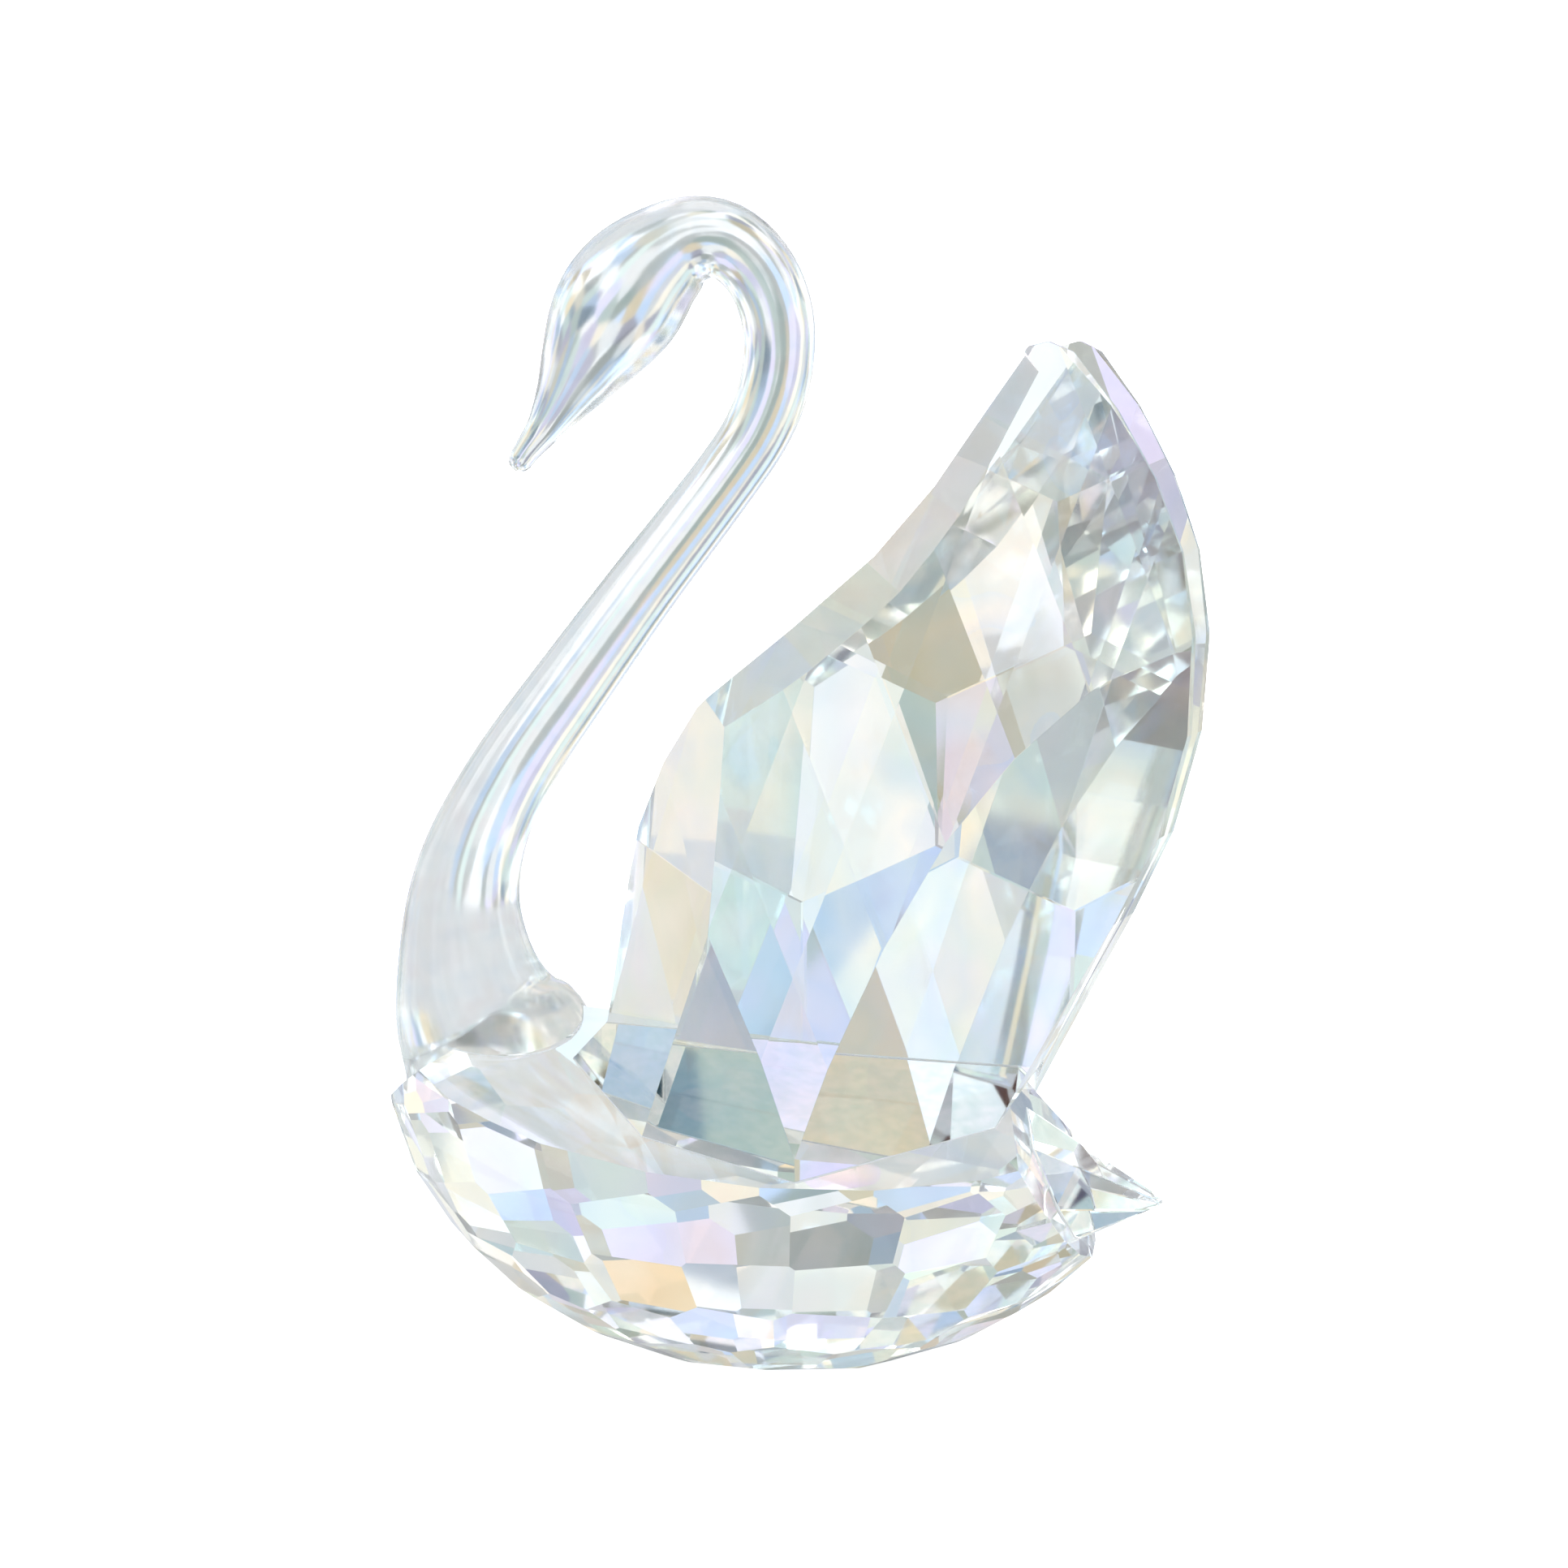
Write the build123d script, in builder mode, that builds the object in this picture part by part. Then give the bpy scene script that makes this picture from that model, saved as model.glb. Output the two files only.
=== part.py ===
"""Cut crystal swan: five glass pieces, bonded to each other with thin films of clear adhesive.

The swan faces -X, its tail points to +X, its left side is -Y and +Z is up.
The origin is the middle of the flat facet that it stands on.  Sizes are in millimetres.
"""
from build123d import *
from math import cos, pi, radians, sin, tan
import os

# ------------------------------------------------------------------ driving sizes
BOND = 0.1                   # thickness of each adhesive film
BLANK_MARGIN = 2.0           # a blank is at least this many times what is cut from it

# Body: an egg of glass, ground all over with flat facets.
BODY_HALF_LENGTH = 33.9
BODY_HALF_WIDTH = 19.7
BODY_DEPTH = 27.0            # from the widest level down to the keel
BODY_SHIFT = -1.3            # centre of the egg, behind (+) or ahead (-) of the base
BASE_CUT = 0.6               # how much of the keel is ground off to stand on
BODY_FACET_ROWS = 7          # rows of facets from the widest level to the base
BODY_FACETS_ROUND = 22       # facets in the top row
BODY_FEWEST_FACETS = 6       # facets in a row near the keel, at least
BODY_TOP_ROW = 0.2           # the top row sits this share of a row under the widest level
BODY_KEEL_ROW = 0.1          # and the lowest row is this share of a row nearer to the keel
BODY_ROW_THINNING = 0.7      # how quickly the rows lose facets towards the keel

# Top of the body: a roof of two polished planes that carries neck and wings.
RIDGE_RISE = 2.2             # height of the ridge above the widest level, over the origin
RIDGE_FALL = 5.3             # degrees that the ridge falls towards the tail
ROOF_SLOPE = 30.0            # degrees that each side falls away from the ridge
CHEST_SEAM_DROP = 4.0        # where the foot of the neck meets the breast, under that level
CHEST_SEAM_SLOPE = 34.0      # degrees that the front seat rises from there
RUMP_DROP = 5.4              # a point of the rear seat, under the widest level
RUMP_INSET = 11.6            # and ahead of the rear end of the egg
RUMP_SLOPE = 24.2            # degrees that the rear seat leans forward

# Wings: a pair of thick leaves, hollow ground inside and domed outside.  A reach is measured
# backwards from the front of the breast, and a rise upwards from the body's widest level.
WING_INNER_GAP = 0.3         # from the middle plane to the inner face at the foot
WING_INNER_RISE = 7.6        # where the inner face starts to curve away
WING_INNER_CROWN = 210.0     # radius of the inner face's dome, up and down
WING_INNER_CROWN_ACROSS = 300.0    # and fore and aft
WING_CENTRE_REACH = 47.2     # top of the outer face's dome
WING_CENTRE_OUT = 15.9       # out from the middle plane
WING_CENTRE_RISE = 19.6
WING_OUTER_YAW = 15.0        # degrees that the outer face turns towards the tail there
WING_OUTER_LEAN = 2.2        # and towards the sky
WING_CROWN = 600.0           # radius of the outer face's dome, up and down
WING_CROWN_ACROSS = 90.0     # and fore and aft
WING_BAND_REACH = 31.3       # a point on the broad facet down the leading edge
WING_BAND_OUT = 17.6
WING_BAND_RISE = 17.6
WING_BAND_YAW = -43.3
WING_BAND_LEAN = 4.9
WING_HIP_REACH = 39.1        # the corner of the foot where the hip and heel facets meet
WING_HIP_RISE = -8.6
WING_RIM = 1.9               # from there out to the body's widest line
WING_HIP_YAW = -14.5
WING_HIP_LEAN = -7.8
WING_HEEL_YAW = 32.5
WING_HEEL_LEAN = -8.0
WING_FACET_WIDTH = 8.5       # from one outer facet to the next, fore and aft
WING_FACET_HEIGHT = 11.0     # and up and down
WING_INNER_FACET_WIDTH = 22.0      # the inner face has fewer, broader ones
WING_INNER_FACET_HEIGHT = 17.0
WING_EDGE_BEVEL = 2.4        # bevel along the trailing edge
WING_BROW_BEVEL = 4.4        # bevel along the hollow upper edge

# Tail: a short faceted point.
TAIL_LENGTH = 8.0
TAIL_FALL = 2.0              # degrees that the tail points down
TAIL_ROOT_DROP = 11.9        # its axis leaves the rear seat this far under the widest level
TAIL_HALF_HEIGHT = 5.2
TAIL_HALF_WIDTH = 4.6
TAIL_TIP = 0.16              # the tip's size as a share of the root's
TAIL_FACETS = 8

# What the sizes above give.
BREAST_FRONT = BODY_SHIFT - BODY_HALF_LENGTH
BODY_REAR = BODY_SHIFT + BODY_HALF_LENGTH
BODY_LEVEL = BODY_DEPTH - BASE_CUT     # height of the widest level

# Neck and head: one drawn and shaped piece.  Each station gives the reach and rise of its
# centre, half the thickness in the middle plane, and half the thickness across.
NECK_STATIONS = [
    (10.3, -4.6, 8.9, 7.6),    # inside the seat
    (9.1, -0.2, 8.8, 7.5),    # foot
    (7.2, 3.5, 7.4, 6.7),
    (6.2, 7.7, 6.0, 5.8),
    (6.0, 12.4, 5.0, 5.0),    # base of the neck
    (6.8, 16.6, 4.4, 4.5),
    (8.6, 21.0, 3.9, 4.1),
    (11.5, 25.9, 3.6, 3.7),
    (16.6, 32.9, 3.35, 3.4),
    (21.9, 40.0, 3.1, 3.1),    # middle of the neck
    (26.3, 45.6, 2.95, 2.95),
    (29.6, 49.9, 2.87, 2.87),
    (31.9, 53.3, 2.9, 2.9),
    (33.4, 56.8, 3.0, 3.0),
    (34.0, 60.6, 3.05, 3.05),    # back of the crook
    (33.6, 64.2, 3.15, 3.15),
    (32.0, 67.5, 3.2, 3.15),
    (29.3, 69.7, 3.35, 3.2),    # top of the crook
    (26.3, 69.8, 3.8, 3.4),
    (23.8, 68.4, 4.6, 3.8),    # nape
    (21.7, 66.5, 5.3, 4.1),
    (19.9, 64.2, 5.5, 4.2),    # cheeks
    (18.3, 61.8, 5.0, 3.9),
    (16.7, 59.1, 3.9, 3.2),
    (14.9, 56.1, 2.5, 2.2),    # root of the beak
    (13.3, 53.7, 1.6, 1.5),
    (11.9, 51.9, 1.15, 1.1),
    (10.8, 50.5, 0.6, 0.6),    # tip of the beak
]

# Side outline of a wing as reach and rise, round from the front of its foot.
WING_LEADING_EDGE = [(16.8, -0.4), (21.2, 3.8), (22.9, 14.6), (24.1, 20.4), (26.7, 26.0), (30.2, 30.8)]
WING_HOLLOW_EDGE = [(38.0, 37.4), (44.6, 43.4), (49.4, 49.2), (53.6, 55.6), (57.1, 60.8)]
WING_TIP = [(58.6, 61.2), (60.6, 60.3)]
WING_TRAILING_EDGE = [(64.1, 55.6), (67.2, 49.8), (69.4, 43.6), (70.3, 36.6), (69.8, 28.2)]
WING_HEEL_EDGE = [(67.4, 19.6), (63.8, 12.4), (57.2, 0.6), (52.8, -7.4)]
WING_FOOT = [(49.2, -14.4), (16.8, -14.4)]     # under the seat, so that it is all cut away


# ------------------------------------------------------------------ planes
def place(reach, out, rise):
    """A point given by its reach behind the breast, out to the left, and its rise."""
    return Vector(BREAST_FRONT + reach, -out, BODY_LEVEL + rise)


def leaning_plane(origin, yaw, lean):
    """A plane on the left side that faces -Y, turned by yaw towards +X and tipped up by lean."""
    normal = Vector(
        sin(radians(yaw)) * cos(radians(lean)),
        -cos(radians(yaw)) * cos(radians(lean)),
        sin(radians(lean)),
    )
    return Plane(origin=origin, x_dir=Vector(0, 0, 1).cross(normal), z_dir=normal)


def roof_plane(side, offset=0.0):
    """The seat of one wing: side is -1 on the left and +1 on the right."""
    along = Vector(cos(radians(RIDGE_FALL)), 0, -sin(radians(RIDGE_FALL)))
    across = Vector(0, side * cos(radians(ROOF_SLOPE)), -sin(radians(ROOF_SLOPE)))
    normal = along.cross(across) * side
    return Plane(origin=(0, 0, BODY_LEVEL + RIDGE_RISE), x_dir=along, z_dir=normal).offset(offset)


def breast_plane(offset=0.0):
    """The seat ahead of the ridge, under the front of the neck's foot."""
    slope = radians(CHEST_SEAM_SLOPE)
    origin = place(0, 0, -CHEST_SEAM_DROP)
    return Plane(origin=origin, x_dir=(0, 1, 0), z_dir=(-sin(slope), 0, cos(slope))).offset(offset)


def rump_plane(offset=0.0):
    """The seat that the tail is bonded to."""
    slope = radians(RUMP_SLOPE)
    origin = (BODY_REAR - RUMP_INSET, 0, BODY_LEVEL - RUMP_DROP)
    return Plane(origin=origin, x_dir=(0, 1, 0), z_dir=(cos(slope), 0, sin(slope))).offset(offset)


def dome_facets(face, crown, crown_across, width, height, columns, rows):
    """Planes that touch a shallow dome in staggered rows.  The dome's top touches the plane face."""
    planes = []
    for row in rows:
        stagger = width / 2 if row % 2 else 0
        for column in columns:
            across = column * width + stagger
            along = row * height
            drop = across ** 2 / (2 * crown_across) + along ** 2 / (2 * crown)
            slope = Vector(across / crown_across, along / crown, 1)
            touch = Vector(across, along, -drop)
            origin = face.from_local_coords(touch)
            normal = face.from_local_coords(touch + slope) - origin
            planes.append(Plane(origin=origin, z_dir=normal))
    return planes


def grind(planes):
    """Cut the part in the open BuildPart flat along each plane."""
    for plane in planes:
        split(bisect_by=plane, keep=Keep.BOTTOM)


# ------------------------------------------------------------------ seat block
def seat_block(offset):
    """Everything under the roof and the breast seat, each raised by offset."""
    with BuildPart() as block:
        size = 2 * BLANK_MARGIN * BODY_HALF_LENGTH
        Box(size, size, size)
        grind([roof_plane(-1, offset), roof_plane(1, offset), breast_plane(offset)])
    return block.part


# ------------------------------------------------------------------ body
def egg_facets():
    """Planes that touch the body's egg in staggered rows, from the widest level to the keel."""
    planes = []
    for row in range(BODY_FACET_ROWS):
        below = radians(90) * (row + BODY_TOP_ROW) / (BODY_FACET_ROWS - BODY_KEEL_ROW)
        count = max(BODY_FEWEST_FACETS, round(BODY_FACETS_ROUND * cos(below) ** BODY_ROW_THINNING))
        for index in range(count):
            around = 2 * pi * (index + row / 2) / count
            touch = Vector(
                BODY_HALF_LENGTH * cos(below) * cos(around),
                BODY_HALF_WIDTH * cos(below) * sin(around),
                -BODY_DEPTH * sin(below),
            )
            normal = Vector(
                touch.X / BODY_HALF_LENGTH ** 2,
                touch.Y / BODY_HALF_WIDTH ** 2,
                touch.Z / BODY_DEPTH ** 2,
            )
            planes.append(Plane(origin=touch + Vector(BODY_SHIFT, 0, BODY_LEVEL), z_dir=normal))
    return planes


with BuildPart() as body:
    with BuildSketch(Plane.XY):
        with Locations((BODY_SHIFT, 0)):
            Rectangle(2 * BLANK_MARGIN * BODY_HALF_LENGTH, 2 * BLANK_MARGIN * BODY_HALF_WIDTH)
    extrude(amount=BLANK_MARGIN * BODY_DEPTH)
    grind([roof_plane(-1), roof_plane(1), breast_plane(), rump_plane()])
    grind(egg_facets())
body.part.label = "body"


# ------------------------------------------------------------------ neck and head
def neck_plane(index):
    """The plane of one station, square to the line through its neighbours."""
    before = NECK_STATIONS[max(index - 1, 0)]
    after = NECK_STATIONS[min(index + 1, len(NECK_STATIONS) - 1)]
    here = NECK_STATIONS[index]
    direction = (after[0] - before[0], 0, after[1] - before[1])
    return Plane(origin=place(here[0], 0, here[1]), x_dir=(0, 1, 0), z_dir=direction)


with BuildPart() as neck_blank:
    for number, (_, _, half_deep, half_wide) in enumerate(NECK_STATIONS):
        with BuildSketch(neck_plane(number)):
            Ellipse(half_wide, half_deep)
    loft()

with BuildPart() as neck_head:
    add(neck_blank.part)
    add(seat_block(BOND), mode=Mode.SUBTRACT)
neck_head.part.label = "neck_head"

with BuildPart() as neck_bond:
    add(neck_blank.part)
    add(seat_block(BOND), mode=Mode.INTERSECT)
    add(seat_block(0), mode=Mode.SUBTRACT)
neck_bond.part.label = "neck_bond"

# ------------------------------------------------------------------ wings
CENTRE_POINT = place(WING_CENTRE_REACH, WING_CENTRE_OUT, WING_CENTRE_RISE)
BAND_POINT = place(WING_BAND_REACH, WING_BAND_OUT, WING_BAND_RISE)
HIP_POINT = place(WING_HIP_REACH, BODY_HALF_WIDTH - WING_RIM, WING_HIP_RISE)
INNER_POINT = place(WING_CENTRE_REACH, WING_INNER_GAP, WING_INNER_RISE)
OUTER_FACE = leaning_plane(CENTRE_POINT, WING_OUTER_YAW, WING_OUTER_LEAN)
BAND_FACE = leaning_plane(BAND_POINT, WING_BAND_YAW, WING_BAND_LEAN)
HIP_FACE = leaning_plane(HIP_POINT, WING_HIP_YAW, WING_HIP_LEAN)
HEEL_FACE = leaning_plane(HIP_POINT, WING_HEEL_YAW, WING_HEEL_LEAN)
INNER_FACE = leaning_plane(INNER_POINT, 180, 0)
OUTER_FACETS = dome_facets(
    OUTER_FACE,
    WING_CROWN,
    WING_CROWN_ACROSS,
    WING_FACET_WIDTH,
    WING_FACET_HEIGHT,
    range(-2, 4),
    range(-3, 5),
)
INNER_FACETS = dome_facets(
    INNER_FACE,
    WING_INNER_CROWN,
    WING_INNER_CROWN_ACROSS,
    WING_INNER_FACET_WIDTH,
    WING_INNER_FACET_HEIGHT,
    range(-1, 2),
    range(0, 4),
)


def outline_points(pairs):
    """Reach and rise pairs as points of a sketch on the middle plane."""
    return [(BREAST_FRONT + reach, BODY_LEVEL + rise) for reach, rise in pairs]


def on_face(face, pairs):
    """Where the outline's points, moved straight across the swan, meet a face: in its own axes."""
    points = []
    for reach, rise in pairs:
        point = place(reach, 0, rise)
        depth = face.to_local_coords(point).Z / face.z_dir.Y
        points.append(face.to_local_coords(point - Vector(0, depth, 0)))
    return points


def inward(start, end):
    """Square to a straight of the outline, pointing into the glass, in the face's own axes."""
    return (end - start).cross(Vector(0, 0, 1)).normalized()


def mitre(before, corner, after, width):
    """The point inside the outline where two bevels of this width meet at a corner."""
    first = inward(before, corner)
    second = inward(corner, after)
    return corner + (first + second) * (width / (1 + first.dot(second)))


def edge_bevel(start, end, face, width):
    """A plane at 45 degrees to the face that bevels one straight of the outline."""
    into = inward(start, end)
    origin = face.from_local_coords(start + into * width)
    normal = face.from_local_coords(start + into * width - into + Vector(0, 0, 1)) - origin
    return Plane(origin=origin, z_dir=normal)


def brow_wedges():
    """The slivers of glass that are ground off along the hollow upper edge, one for each straight."""
    chain = on_face(OUTER_FACE, WING_LEADING_EDGE[-3:] + WING_HOLLOW_EDGE + WING_TIP[:1])
    wedges = []
    for before, start, end, after in zip(chain, chain[1:], chain[2:], chain[3:]):
        corners = [
            mitre(before, start, end, -WING_BROW_BEVEL),
            mitre(start, end, after, -WING_BROW_BEVEL),
            mitre(start, end, after, BLANK_MARGIN * WING_BROW_BEVEL),
            mitre(before, start, end, BLANK_MARGIN * WING_BROW_BEVEL),
        ]
        with BuildPart() as wedge:
            with BuildSketch(OUTER_FACE):
                with BuildLine():
                    Polyline([(corner.X, corner.Y) for corner in corners], close=True)
                make_face()
            extrude(amount=BODY_HALF_WIDTH, both=True)
            split(bisect_by=edge_bevel(start, end, OUTER_FACE, WING_BROW_BEVEL), keep=Keep.TOP)
        wedges.append(wedge.part)
    return wedges


def trailing_bevels():
    """One bevel for each straight of the trailing edge."""
    corners = on_face(OUTER_FACE, WING_TIP[-1:] + WING_TRAILING_EDGE + WING_HEEL_EDGE)
    return [edge_bevel(start, end, OUTER_FACE, WING_EDGE_BEVEL) for start, end in zip(corners, corners[1:])]


WING_OUTLINE = (
    WING_LEADING_EDGE + WING_HOLLOW_EDGE + WING_TIP + WING_TRAILING_EDGE + WING_HEEL_EDGE + WING_FOOT
)
BROW_WEDGES = brow_wedges()

with BuildPart() as wing_blank:
    with BuildSketch(Plane.XZ.offset(WING_INNER_GAP)):
        with BuildLine():
            Polyline(*outline_points(WING_OUTLINE), close=True)
        make_face()
    extrude(amount=BLANK_MARGIN * BODY_HALF_WIDTH)
    grind([OUTER_FACE, BAND_FACE, HIP_FACE, HEEL_FACE])
    for wedge_part in BROW_WEDGES:
        add(wedge_part, mode=Mode.SUBTRACT)
    grind(OUTER_FACETS)
    grind(trailing_bevels())
    grind(INNER_FACETS)

with BuildPart() as left_wing:
    add(wing_blank.part)
    split(bisect_by=roof_plane(-1, BOND), keep=Keep.TOP)
left_wing.part.label = "left_wing"

with BuildPart() as left_wing_bond:
    add(wing_blank.part)
    split(bisect_by=roof_plane(-1, BOND), keep=Keep.BOTTOM)
    split(bisect_by=roof_plane(-1), keep=Keep.TOP)
    split(bisect_by=rump_plane(), keep=Keep.BOTTOM)
left_wing_bond.part.label = "left_wing_bond"

with BuildPart() as right_wing:
    add(mirror(left_wing.part, about=Plane.XZ, mode=Mode.PRIVATE))
right_wing.part.label = "right_wing"

with BuildPart() as right_wing_bond:
    add(mirror(left_wing_bond.part, about=Plane.XZ, mode=Mode.PRIVATE))
right_wing_bond.part.label = "right_wing_bond"


# ------------------------------------------------------------------ tail
def tail_facets():
    """Planes round the tail's axis that close in from its root to its tip."""
    rear = BODY_REAR - RUMP_INSET + (TAIL_ROOT_DROP - RUMP_DROP) * tan(radians(RUMP_SLOPE))
    root = Vector(rear, 0, BODY_LEVEL - TAIL_ROOT_DROP)
    axis = Vector(cos(radians(TAIL_FALL)), 0, -sin(radians(TAIL_FALL)))
    up = Vector(sin(radians(TAIL_FALL)), 0, cos(radians(TAIL_FALL)))
    side = Vector(0, 1, 0)
    planes = []
    for index in range(TAIL_FACETS):
        turn = 2 * pi * (index + 0.5) / TAIL_FACETS
        away = side * (cos(turn) / TAIL_HALF_WIDTH) + up * (sin(turn) / TAIL_HALF_HEIGHT)
        touch = side * (cos(turn) * TAIL_HALF_WIDTH) + up * (sin(turn) * TAIL_HALF_HEIGHT)
        slant = axis * TAIL_LENGTH - touch * (1 - TAIL_TIP)
        tangent = side * (-sin(turn) * TAIL_HALF_WIDTH) + up * (cos(turn) * TAIL_HALF_HEIGHT)
        normal = tangent.cross(slant)
        if normal.dot(away) < 0:
            normal = normal * -1
        planes.append(Plane(origin=root + touch, z_dir=normal))
    planes.append(Plane(origin=root + axis * TAIL_LENGTH, z_dir=axis))
    return planes


with BuildPart() as tail_blank:
    with BuildSketch(rump_plane()):
        Circle(BLANK_MARGIN * TAIL_HALF_HEIGHT)
    extrude(amount=BLANK_MARGIN * TAIL_LENGTH)
    grind(tail_facets())

with BuildPart() as tail:
    add(tail_blank.part)
    split(bisect_by=rump_plane(BOND), keep=Keep.TOP)
tail.part.label = "tail"

with BuildPart() as tail_bond:
    add(tail_blank.part)
    split(bisect_by=rump_plane(BOND), keep=Keep.BOTTOM)
tail_bond.part.label = "tail_bond"

# ------------------------------------------------------------------ files
os.makedirs("parts", exist_ok=True)
for piece in (
    body,
    neck_head,
    neck_bond,
    left_wing,
    left_wing_bond,
    right_wing,
    right_wing_bond,
    tail,
    tail_bond,
):
    export_step(piece.part, f"parts/{piece.part.label}.step")
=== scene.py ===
"""Cut crystal swan on a white table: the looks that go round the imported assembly.

The four ground pieces (body, two wings, tail) are copied from their nodes, their facets are
joined up and their arrises eased, and they get a vapour coated crystal finish.  The neck and
head is drawn anew as one smooth piece.  The adhesive films lie between them.
The swan faces -X, its left side is -Y, up is +Z, and every size is in metres.
"""
import logging
import math
import random
from dataclasses import dataclass, field
from enum import Enum
from typing import Iterable, Sequence

import bpy
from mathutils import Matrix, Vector


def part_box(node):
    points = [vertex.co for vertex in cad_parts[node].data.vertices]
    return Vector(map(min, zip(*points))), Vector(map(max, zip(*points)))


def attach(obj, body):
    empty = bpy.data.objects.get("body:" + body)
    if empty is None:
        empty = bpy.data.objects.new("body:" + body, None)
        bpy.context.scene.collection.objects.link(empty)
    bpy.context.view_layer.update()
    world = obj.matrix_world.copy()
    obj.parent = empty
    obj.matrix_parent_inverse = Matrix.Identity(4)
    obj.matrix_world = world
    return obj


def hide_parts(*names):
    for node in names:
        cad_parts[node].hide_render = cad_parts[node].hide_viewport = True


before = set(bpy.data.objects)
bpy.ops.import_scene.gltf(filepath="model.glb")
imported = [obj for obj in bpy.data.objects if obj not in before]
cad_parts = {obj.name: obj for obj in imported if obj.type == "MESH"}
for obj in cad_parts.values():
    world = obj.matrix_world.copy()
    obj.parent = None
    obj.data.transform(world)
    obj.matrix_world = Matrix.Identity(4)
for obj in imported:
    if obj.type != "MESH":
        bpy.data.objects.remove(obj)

LOG = logging.getLogger("crystal_swan")
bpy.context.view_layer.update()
MM = 0.001


# ---------------------------------------------------------------- colours and nodes
def linear(hex_colour: str) -> tuple[float, float, float, float]:
    """Turns an sRGB hex colour to a linear one.

    Args:
        hex_colour: Six hex digits, such as "f4f1ea".

    Returns:
        Red, green, blue and an alpha of 1, as a shader socket takes them.
    """
    channels = []
    for start in (0, 2, 4):
        value = int(hex_colour[start:start + 2], 16) / 255
        channels.append(value / 12.92 if value <= 0.04045 else ((value + 0.055) / 1.055) ** 2.4)
    return (*channels, 1.0)


def add_node(tree: bpy.types.NodeTree, kind: str, settings: dict | None = None,
             inputs: dict | None = None) -> bpy.types.Node:
    """Adds one node with its settings, and its inputs as values or links.

    Args:
        tree: The node tree it goes in.
        kind: The node's type name, such as "ShaderNodeTexNoise".
        settings: Properties of the node itself.
        inputs: Socket name or number to a value, or to the output socket that feeds it.

    Returns:
        The new node.
    """
    node = tree.nodes.new(kind)
    for name, value in (settings or {}).items():
        setattr(node, name, value)
    for name, value in (inputs or {}).items():
        if isinstance(value, bpy.types.NodeSocket):
            tree.links.new(value, node.inputs[name])
        else:
            node.inputs[name].default_value = value
    return node


def set_ramp(node: bpy.types.Node, stops: Sequence[tuple[float, str]], interpolation: str) -> None:
    """Gives a colour ramp its stops.

    Args:
        node: The colour ramp node.
        stops: Place along the ramp and sRGB hex colour, in order.
        interpolation: LINEAR, EASE or CONSTANT.
    """
    ramp = node.color_ramp
    ramp.interpolation = interpolation
    while len(ramp.elements) > 1:
        ramp.elements.remove(ramp.elements[-1])
    ramp.elements[0].position = stops[0][0]
    ramp.elements[0].color = linear(stops[0][1])
    for position, colour in stops[1:]:
        ramp.elements.new(position).color = linear(colour)


# ---------------------------------------------------------------- finishes
class Slot(Enum):
    """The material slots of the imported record."""

    CRYSTAL = "coated_cut_crystal"
    GLASS = "drawn_clear_glass"
    ADHESIVE = "clear_bonding_adhesive"


class Surface(Enum):
    """Which material slot of a piece a face takes."""

    POLISHED = 0
    SEAT = 1


@dataclass(frozen=True)
class CoatedCrystal:
    """Machine cut lead-free crystal, wheel polished, then given a vapour deposited aurora coat.

    The eye sees clear, very bright glass whose facets are each washed with their own pale
    tint of blue, lilac, sea green, cream or tan, because the coat's thickness differs from
    facet to facet.
    """

    name: str = "coated_cut_crystal"
    ior: float = 1.56
    roughness: float = 0.03
    coat_ior: float = 1.75
    coat_thinnest: float = 120.0          # nanometres
    coat_thickest: float = 330.0
    drift_size: float = 9.0 * MM          # how far the coat runs before its colour changes
    drift_share: float = 0.5              # of the whole run of tints
    tints: tuple[tuple[float, str], ...] = (
        (0.00, "e6effa"),
        (0.14, "f8fafa"),
        (0.28, "e8f0ea"),
        (0.40, "fbf7ec"),
        (0.50, "f3eadb"),
        (0.60, "f8fbfb"),
        (0.72, "efecf9"),
        (0.84, "e4f0f3"),
        (0.94, "fcfaf5"),
        (1.00, "e6effa"),
    )

    def make(self) -> bpy.types.Material:
        """Builds the material, driven by each facet's own coat value."""
        material = bpy.data.materials.new(self.name)
        material.use_nodes = True
        tree = material.node_tree
        shader = tree.nodes["Principled BSDF"]
        shader.inputs["IOR"].default_value = self.ior
        shader.inputs["Roughness"].default_value = self.roughness
        shader.inputs["Transmission Weight"].default_value = 1.0
        shader.inputs["Thin Film IOR"].default_value = self.coat_ior
        place = add_node(tree, "ShaderNodeTexCoord")
        facet = add_node(tree, "ShaderNodeAttribute", {"attribute_name": "coat"})
        drift = add_node(tree, "ShaderNodeTexNoise", {"noise_dimensions": "3D"}, {
            "Vector": place.outputs["Object"],
            "Scale": 1 / self.drift_size,
            "Detail": 1.0,
        })
        spread = add_node(tree, "ShaderNodeMath", {"operation": "MULTIPLY_ADD"}, {
            0: drift.outputs["Fac"],
            1: self.drift_share,
            2: facet.outputs["Fac"],
        })
        value = add_node(tree, "ShaderNodeMath", {"operation": "FRACT"}, {0: spread.outputs[0]})
        ramp = add_node(tree, "ShaderNodeValToRGB", None, {"Fac": value.outputs[0]})
        set_ramp(ramp, self.tints, "LINEAR")
        tree.links.new(ramp.outputs["Color"], shader.inputs["Base Color"])
        thickness = add_node(tree, "ShaderNodeMapRange", None, {
            "Value": value.outputs[0],
            "To Min": self.coat_thinnest,
            "To Max": self.coat_thickest,
        })
        tree.links.new(thickness.outputs["Result"], shader.inputs["Thin Film Thickness"])
        return material


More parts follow.
